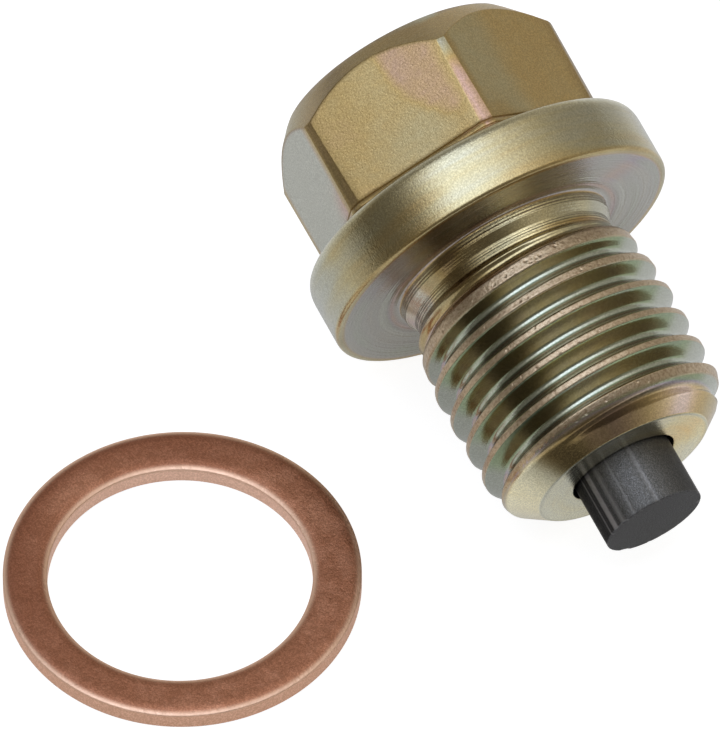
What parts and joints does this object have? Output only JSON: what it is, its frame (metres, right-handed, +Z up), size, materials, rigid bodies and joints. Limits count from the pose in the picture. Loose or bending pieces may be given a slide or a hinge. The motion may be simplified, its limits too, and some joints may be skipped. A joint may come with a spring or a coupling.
{
  "type": "oil drain plug",
  "caption": "Magnetic oil drain plug with a hexagon head, a round flange and a fine thread, lying beside its flat copper sealing washer.",
  "frame": {"origin": "on the bench that both pieces lie on, below the middle of the bounding box of the plug and the washer together", "axes": "+Z up from the bench; the plug's axis lies in a plane parallel to XZ, and its tip points along +X and a little down; the washer lies flat on the -Y side"},
  "size_m": [0.0256, 0.0352, 0.0171],
  "materials": {
    "passivated_steel": "yellow passivated zinc plating on steel, satin, with a faint play of colours",
    "sintered_magnet": "black sintered magnet, matt",
    "copper": "tumbled copper, dull"
  },
  "bodies": {
    "root": {"plug_body": "passivated_steel", "magnet": "sintered_magnet", "sealing_washer": "copper"}
  },
  "joints": []
}
